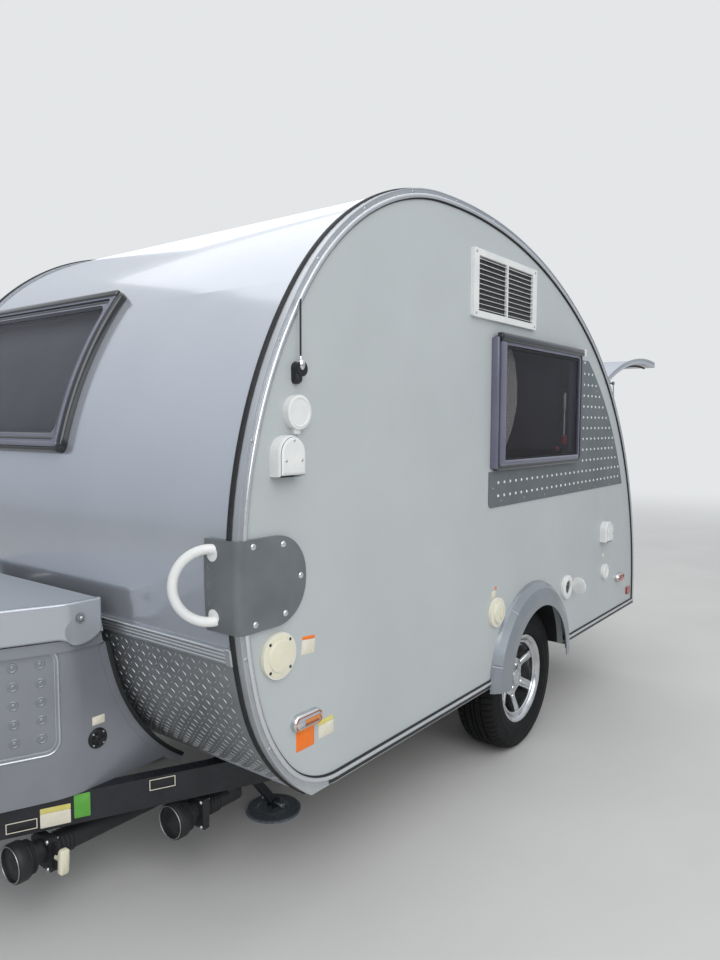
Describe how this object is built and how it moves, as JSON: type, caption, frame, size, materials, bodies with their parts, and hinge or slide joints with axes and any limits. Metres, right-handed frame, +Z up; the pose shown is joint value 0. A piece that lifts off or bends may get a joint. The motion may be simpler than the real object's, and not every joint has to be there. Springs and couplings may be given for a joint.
{
  "type": "teardrop travel trailer",
  "caption": "Teardrop travel trailer on its jack and corner stands, with a raised tail hatch over a galley, an entry door, tinted windows, a tongue storage tub and a hollow cabin.",
  "frame": {"origin": "on the ground under the middle of the bounding box", "axes": "+X towards the hitch, +Y to the left side, +Z up"},
  "size_m": [5.098, 2.092, 2.4709],
  "materials": {
    "wall_panel": "satin",
    "nose_skin": "metallic gloss",
    "tread_plate": "raised tread pattern",
    "trim_metal": "anodised",
    "tail_skin": "gloss",
    "floor_ply": "laminated",
    "well_plastic": "matt",
    "frame_plastic": "gloss",
    "tinted_pane": "tinted",
    "dimple_plate": "satin",
    "white_plastic": "satin",
    "grey_plastic": "satin",
    "silver_plastic": "metallic satin",
    "lamp_plastic": "clear lens",
    "black_plastic": "satin",
    "black_steel": "painted",
    "zinc_steel": "galvanised",
    "alloy": "polished",
    "tyre": "matt",
    "birch_ply": "oiled",
    "cabinet": "laminate",
    "steel_sheet": "brushed",
    "fabric": "woven",
    "white_panel": "gloss"
  },
  "bodies": {
    "trailer": {"side_wall_left": "wall_panel", "side_wall_right": "wall_panel", "roof_skin": "nose_skin", "gravel_guard": "tread_plate", "guard_rail": "trim_metal", "tail_panel": "tail_skin", "floor_deck": "floor_ply", "wheel_wells": "well_plastic", "edge_trims": "trim_metal", "wheel_flares": "silver_plastic", "window_frames": "frame_plastic", "window_panes": "tinted_pane", "dimple_plates": "dimple_plate", "air_grille": "white_plastic", "corner_caps": "grey_plastic", "grab_handles": "white_plastic", "wall_fittings": "white_plastic", "lamps": "lamp_plastic", "antenna": "black_plastic", "door_jamb": "trim_metal", "chassis": "black_steel", "coupler": "black_steel", "axle": "black_steel", "jack_tube": "zinc_steel", "steady_brackets": "zinc_steel", "tongue_tub": "silver_plastic", "waste_outlets": "black_plastic", "bulkhead": "birch_ply", "galley_unit": "cabinet", "sink_and_stove": "steel_sheet", "benches": "cabinet", "cushions": "fabric", "kitchen_unit": "cabinet", "washroom_walls": "white_panel", "roof_vent": "white_plastic", "hinge_leaves": "trim_metal"},
    "wheel_left": {"tyre_left": "tyre", "rim_left": "alloy"},
    "wheel_right": {"tyre_right": "tyre", "rim_right": "alloy"},
    "door": {"entry_door": "wall_panel", "door_hardware": "frame_plastic", "door_pane": "tinted_pane"},
    "hatch": {"hatch_shell": "tail_skin", "hatch_liner": "birch_ply", "hatch_pull": "black_plastic"},
    "lid": {"tub_lid": "silver_plastic"},
    "jack_foot": {"jack_leg": "zinc_steel"},
    "vent_lid": {"roof_vent_lid": "white_plastic"},
    "steady_front_left": {"steady_front_left": "zinc_steel"},
    "steady_front_right": {"steady_front_right": "zinc_steel"},
    "steady_rear_left": {"steady_rear_left": "zinc_steel"},
    "steady_rear_right": {"steady_rear_right": "zinc_steel"},
    "strut_tube_left": {"strut_tube_left": "black_steel"},
    "strut_rod_left": {"strut_rod_left": "zinc_steel"},
    "strut_tube_right": {"strut_tube_right": "black_steel"},
    "strut_rod_right": {"strut_rod_right": "zinc_steel"}
  },
  "joints": [
    {"name": "wheel_left_spin", "type": "hinge", "parent": "trailer", "child": "wheel_left", "pos_m": [-0.49202, 0.8625, 0.336], "axis": [0, 1, 0], "continuous": true},
    {"name": "wheel_right_spin", "type": "hinge", "parent": "trailer", "child": "wheel_right", "pos_m": [-0.49202, -0.8625, 0.336], "axis": [0, 1, 0], "continuous": true},
    {"name": "door_swing", "type": "hinge", "parent": "trailer", "child": "door", "pos_m": [0.67498, -1.003, 1], "axis": [0, 0, 1], "range_deg": [0, 110]},
    {"name": "hatch_swing", "type": "hinge", "parent": "trailer", "child": "hatch", "pos_m": [-1.50998, 0, 1.78213], "axis": [0, 1, 0], "range_deg": [-72, 0]},
    {"name": "tub_lid_swing", "type": "hinge", "parent": "trailer", "child": "lid", "pos_m": [1.51098, 0, 0.965], "axis": [0, -1, 0], "range_deg": [0, 75]},
    {"name": "jack_slide", "type": "slide", "parent": "trailer", "child": "jack_foot", "axis": [0, 0, 1], "range_m": [0, 0.25]},
    {"name": "vent_lid_swing", "type": "hinge", "parent": "trailer", "child": "vent_lid", "pos_m": [0.07076, 0, 2.44468], "axis": [0, 1, 0], "range_deg": [0, 60]},
    {"name": "steady_front_left_fold", "type": "hinge", "parent": "trailer", "child": "steady_front_left", "pos_m": [0.91298, 0.42, 0.338], "axis": [0, 1, 0], "range_deg": [0, 44]},
    {"name": "steady_front_right_fold", "type": "hinge", "parent": "trailer", "child": "steady_front_right", "pos_m": [0.91298, -0.42, 0.338], "axis": [0, 1, 0], "range_deg": [0, 44]},
    {"name": "steady_rear_left_fold", "type": "hinge", "parent": "trailer", "child": "steady_rear_left", "pos_m": [-1.84702, 0.42, 0.338], "axis": [0, -1, 0], "range_deg": [0, 44]},
    {"name": "steady_rear_right_fold", "type": "hinge", "parent": "trailer", "child": "steady_rear_right", "pos_m": [-1.84702, -0.42, 0.338], "axis": [0, -1, 0], "range_deg": [0, 44]},
    {"name": "strut_tube_left_turn", "type": "hinge", "parent": "trailer", "child": "strut_tube_left", "pos_m": [-1.78198, 0.936, 1.27734], "axis": [0, 1, 0], "range_deg": [0, 24.8]},
    {"name": "strut_rod_left_slide", "type": "slide", "parent": "strut_tube_left", "child": "strut_rod_left", "axis": [0.1154, 0, 0.9933], "range_m": [-0.16388, 0]},
    {"name": "strut_tube_right_turn", "type": "hinge", "parent": "trailer", "child": "strut_tube_right", "pos_m": [-1.78198, -0.936, 1.27734], "axis": [0, 1, 0], "range_deg": [0, 24.8]},
    {"name": "strut_rod_right_slide", "type": "slide", "parent": "strut_tube_right", "child": "strut_rod_right", "axis": [0.1154, 0, 0.9933], "range_m": [-0.16388, 0]}
  ],
  "couplings": [
    {"joint": "strut_tube_left_turn", "follows": "hatch_swing", "ratio": -0.34448},
    {"joint": "strut_rod_left_slide", "follows": "hatch_swing", "m_per_rad": 0.13041},
    {"joint": "strut_tube_right_turn", "follows": "hatch_swing", "ratio": -0.34448},
    {"joint": "strut_rod_right_slide", "follows": "hatch_swing", "m_per_rad": 0.13041}
  ]
}
